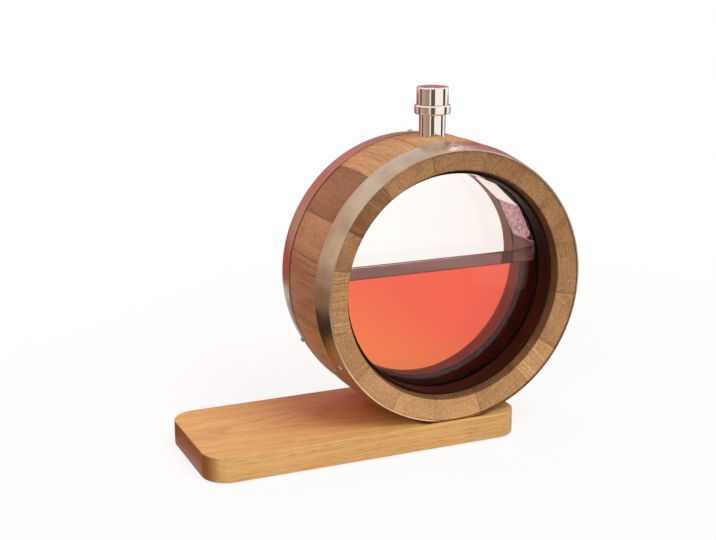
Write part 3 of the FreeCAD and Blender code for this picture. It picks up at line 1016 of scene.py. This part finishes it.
def make_plank_oak(oak_grain):
    """Light oak with its grain along the board, under a clear satin finish."""
    material, tree = start_material("plank_oak")
    inside = own_place(tree)
    sawn = put(tree, "Mapping", {
        "Vector": inside, "Location": (0.02, 0.6, 0.105), "Scale": (1.6, 1.6, 1.6),
        "Rotation": (math.radians(12), math.radians(0.8), math.radians(90.7))}).outputs[0]
    oak = use_group(tree, oak_grain, {"Grain": sawn, "Ring Width": 4.6 * MM, "Waviness": 0.012})
    colour = tint(tree, spread(tree, oak["Clouds"], 0, 1), *PLANK_OAK)
    for mark, share, shade in PLANK_MARKS:
        colour = tint(tree, times(tree, oak[mark], share), colour, shade)
    colour = shaded(tree, colour, spread(tree, oak["Fibres"], 0.86, 1.10))
    # the ends darker: the end grain's own darker colour, and partly painted shade
    facing = put(tree, "NewGeometry").outputs["True Normal"]
    end_grain_shade = mask(tree, maths(tree, "ABSOLUTE", split(tree, facing)[0]), 0.45, 0.98)
    colour = tint(tree, times(tree, end_grain_shade, 0.85), colour, PLANK_END_GRAIN_SHADE, "MULTIPLY")
    place = split(tree, inside)
    # painted shadow and rosy reflected light on the plank beside the cask
    cask_shade = 1.0
    for part, outside, within in CASK_SHADE_PATCH:
        cask_shade = times(tree, cask_shade, mask(tree, place[part], outside * MM, within * MM))
    colour = tint(tree, cask_shade, colour, CASK_SHADE_ROSE, "MULTIPLY")
    dress(tree, {
        "Base Color": colour, "Roughness": plus(tree, 0.40, times(tree, oak["Pores"], 0.2)),
        "Specular IOR Level": 0.3})
    relief = maths(tree, "SUBTRACT", times(tree, oak["Fibres"], 0.4), oak["Pores"])
    raise_surface(tree, relief, 0.3, 0.12 * MM)
    return material


wear(nodes["plank"], make_plank_oak(oak_grain))


# ---- Foot pads ----
# Four discs of black moulded rubber, stuck under the plank near its corners, that keep it still
# and off a wet table.

pad_rubber = make_moulded("pad_rubber", moulded_skin, srgb(24, 24, 25), srgb(56, 55, 54),
                          rough=0.62, fineness=2200.0)
wear(nodes["foot_pads"], pad_rubber)


# ---- Stage ----
# A white floor that keeps a faint shadow, a white surround, soft lamps, and sheets of card that
# only the reflections in steel, glass and varnish see.

CAMERA = Vector((-0.5015, -1.1031, 0.4784))
CAMERA_TURN = 0.4119
CAMERA_DROP = 0.2536
CAMERA_LENS = 66.3
LAMP_TARGET = Vector((0.0, 0.0, 0.12))

# how the floor is lit and seen, how far its shadow reaches, and the share of it that shows
FLOOR_RINGS = (0.001, 0.2, 0.5, 1.0, 1.6)
FLOOR_LIT = (0.52, 0.51, 0.50, 1.0)
FLOOR_SEEN = (0.96, 0.96, 0.96, 1.0)
SHADOW_REACH = (0.9, 0.25)
SHADOW_SHARE = 0.16
WHITE = (1.0, 1.0, 1.0, 1.0)

# how far off most cards stand, the light of the cards that stand for lamps, and of the strip for a
# painted glint
WALL = 2.2
BRIGHT_CARD = (1.8, 1.72, 1.6, 1.0)
GLINT_CARD = (9.0, 8.8, 8.3, 1.0)

# the surround's dark and bright side, and the way towards the bright one
SKY_LIT = ((0.17, 0.145, 0.135, 1.0), (0.46, 0.445, 0.43, 1.0))
SKY_BRIGHT_WAY = (0.88, -0.34, 0.34)


def seen_directly(tree):
    """1 for a ray from the camera, a mirror or a glass, and 0 for light that falls on things."""
    rays = put(tree, "LightPath").outputs
    shown = maths(tree, "MAXIMUM", rays["Is Camera Ray"], rays["Is Glossy Ray"])
    return maths(tree, "MAXIMUM", shown, rays["Is Transmission Ray"])


def make_floor():
    """A round of white floor: a profile turned without its outer cap, and its material."""
    points, faces = lathe([(radius, 0.0) for radius in FLOOR_RINGS], 64, Vector())
    floor = mesh_object("floor", points, faces[:-1])
    material, tree = start_material("white_floor")
    reach = put(tree, "VectorMath", {0: own_place(tree)}, operation="LENGTH")
    share = between(tree, mask(tree, reach.outputs["Value"], *SHADOW_REACH), 1.0, 1.0 - SHADOW_SHARE)
    dress(tree, {
        "Base Color": tint(tree, seen_directly(tree), FLOOR_LIT, FLOOR_SEEN), "Roughness": 0.9,
        "Specular IOR Level": 0.0})
    glow = put(tree, "Emission", {"Color": WHITE})
    both = put(tree, "MixShader", {
        0: times(tree, share, seen_directly(tree)),
        1: find_node(tree, "BSDF_PRINCIPLED").outputs[0],
        2: glow.outputs[0]})
    tree.links.new(both.outputs[0], find_node(tree, "OUTPUT_MATERIAL").inputs["Surface"])
    wear(floor, material)


def from_camera(bearing):
    """The level direction that lies so many degrees to the right of the camera's."""
    back = Vector((-math.sin(CAMERA_TURN), -math.cos(CAMERA_TURN), 0.0))
    right = Vector((math.cos(CAMERA_TURN), -math.sin(CAMERA_TURN), 0.0))
    turn = math.radians(bearing)
    return back * math.cos(turn) + right * math.sin(turn)


def make_card(name, start, end, colour, profile, behind_glass=False):
    """A sheet of card round the dispenser, that only mirrors see, or only glass and liquor."""
    steps = max(2, int((end - start) / 6))
    points = []
    for step in range(steps + 1):
        way = from_camera(start + (end - start) * step / steps)
        points += [way * r + Vector((0.0, 0.0, z)) for r, z in profile]
    size = len(profile)
    faces = ring_faces(steps + 1, size, closed=False)[:steps * (size - 1)]
    card = mesh_object(name, points, faces)
    material, tree = start_material(name)
    tree.nodes.clear()
    glow = put(tree, "Emission", {"Color": colour})
    put(tree, "OutputMaterial", {0: glow.outputs[0]})
    wear(card, material)
    card.visible_camera = False
    card.visible_diffuse = False
    card.visible_glossy = not behind_glass
    card.visible_transmission = behind_glass
    card.visible_shadow = False


def make_lamp(name, bearing, height, away, size, power, colour):
    """A soft square lamp that faces the dispenser."""
    data = bpy.data.lights.new(name, "AREA")
    data.size = size
    data.energy = power
    data.color = colour
    lamp = new_object(name, data)
    lamp.location = from_camera(bearing) * away + Vector((0.0, 0.0, height))
    lamp.rotation_euler = (LAMP_TARGET - lamp.location).to_track_quat("-Z", "Y").to_euler()
    lamp.visible_glossy = False


def make_world():
    """A white surround for what is seen, and plain grey light for what is lit."""
    world = bpy.data.worlds.new("surround")
    world.use_nodes = True
    tree = world.node_tree
    tree.nodes.clear()
    way = put(tree, "TexCoord").outputs["Generated"]
    side = put(tree, "VectorMath", {0: way, 1: SKY_BRIGHT_WAY}, operation="DOT_PRODUCT").outputs
    fall = tint(tree, mask(tree, side["Value"], -0.75, 0.55), *SKY_LIT)
    colour = tint(tree, seen_directly(tree), fall, WHITE)
    sky = put(tree, "Background", {"Color": colour})
    put(tree, "OutputWorld", {0: sky.outputs[0]})
    bpy.context.scene.world = world


def flat(near, far, height=1 * MM):
    """The outline of a card that lies on the floor."""
    return ((near, height), (far, height))


def upright(low, high, away=WALL):
    """The outline of a card that stands round the dispenser."""
    return ((away, low), (away, high))


def bent(near, height, top, far=WALL):
    """The outline of a card on the floor that turns up at its far edge."""
    return flat(near, far, height) + ((far, top),)


# name, bearings of its two ends, colour, outline, and whether only glass and liquor see it
CARDS = [
    ("rose_floor", 195, 243, srgb(206, 82, 94), flat(0.55, WALL, 2 * MM)),
    ("plum_floor", 131, 195, srgb(150, 70, 86), flat(0.55, WALL, 2 * MM)),
    ("rose_wall", 190, 222, srgb(232, 122, 130), upright(2 * MM, 1.25)),
    ("mauve_wall", 150, 190, srgb(194, 120, 128), upright(2 * MM, 1.35)),
    ("plum_skirt", 132, 236, srgb(146, 84, 90), bent(2.0, 3 * MM, 0.07, far=2.18)),
    ("pale_left", 222, 257, srgb(238, 222, 200), upright(0.10, 1.4)),
    ("tan_left", 236, 257, srgb(214, 176, 160), bent(1.7, 3 * MM, 0.10)),
    ("dark_left", -103, -87, srgb(70, 52, 44), bent(0.55, 2 * MM, 0.3)),
    ("beige_left", -86, -58, srgb(188, 160, 142), bent(0.55, 2 * MM, 0.5)),
    ("beige_right", -58, -22, srgb(170, 144, 126), bent(0.55, 2 * MM, 0.5)),
    ("dark_front", -13, 17, srgb(104, 86, 70), bent(0.55, 2 * MM, 0.5)),
    ("dark_right", 80, 101, srgb(72, 54, 46), bent(0.55, 2 * MM, 0.5)),
    ("dim_corner", 26, 60, srgb(92, 74, 60), flat(0.36, 0.70)),
    ("tan_front", -45, 60, srgb(228, 180, 110), flat(0.07, 0.13)),
    ("bright_front", -20, 39, BRIGHT_CARD, flat(0.13, 0.34)),
    ("bright_right", 39, 62, BRIGHT_CARD, flat(0.13, 0.17)),
    ("dim_near", 39, 62, srgb(92, 74, 60), flat(0.17, 0.36)),
    ("brown_end", -82, -45, srgb(96, 64, 38), flat(0.20, 0.40)),
    ("dim_side", 60, 86, srgb(92, 74, 60), flat(0.12, 0.61)),
    ("cream_side", 58, 86, srgb(240, 222, 196), flat(0.61, 1.0, 1.5 * MM)),
    # a dark sheet on the floor behind the plank, standing for its shadow as the hoop mirrors it
    ("behind_plank", -142, -82, srgb(44, 29, 24), flat(0.11, 0.40, 3 * MM)),
    ("tan_floor", -130, -88, srgb(156, 128, 104), flat(0.40, 1.1, 3 * MM)),
    ("over_liquor", 150, 210, srgb(255, 184, 178), upright(0.55, 1.0, away=2.3), True),
    # a bright strip seen only in reflections, for a painted glint on the hoop below the neck
    ("window", 175, 179, GLINT_CARD, upright(1.5, 2.4, away=2.15)),
]

# name, bearing, height, distance, side, watts and colour
LAMPS = [
    ("key_lamp", 42, 1.9, 1.35, 1.3, 31.0, (1.0, 0.97, 0.93)),
    ("fill_lamp", -12, 0.7, 1.9, 1.4, 11.6, (1.0, 0.96, 0.92)),
    ("rose_lamp", -130, 0.38, 1.0, 0.7, 6.2, (1.0, 0.50, 0.44)),
]

make_floor()
make_world()
for name, *card in CARDS:
    make_card("card_" + name, *card)
for lamp in LAMPS:
    make_lamp(*lamp)

camera_data = bpy.data.cameras.new("camera")
camera_data.lens = CAMERA_LENS
camera_data.clip_start = 0.01
camera = new_object("camera", camera_data)
camera.location = CAMERA
camera.rotation_euler = (math.pi / 2 - CAMERA_DROP, 0.0, -CAMERA_TURN)
bpy.context.scene.camera = camera
bpy.context.scene.view_settings.view_transform = "Standard"
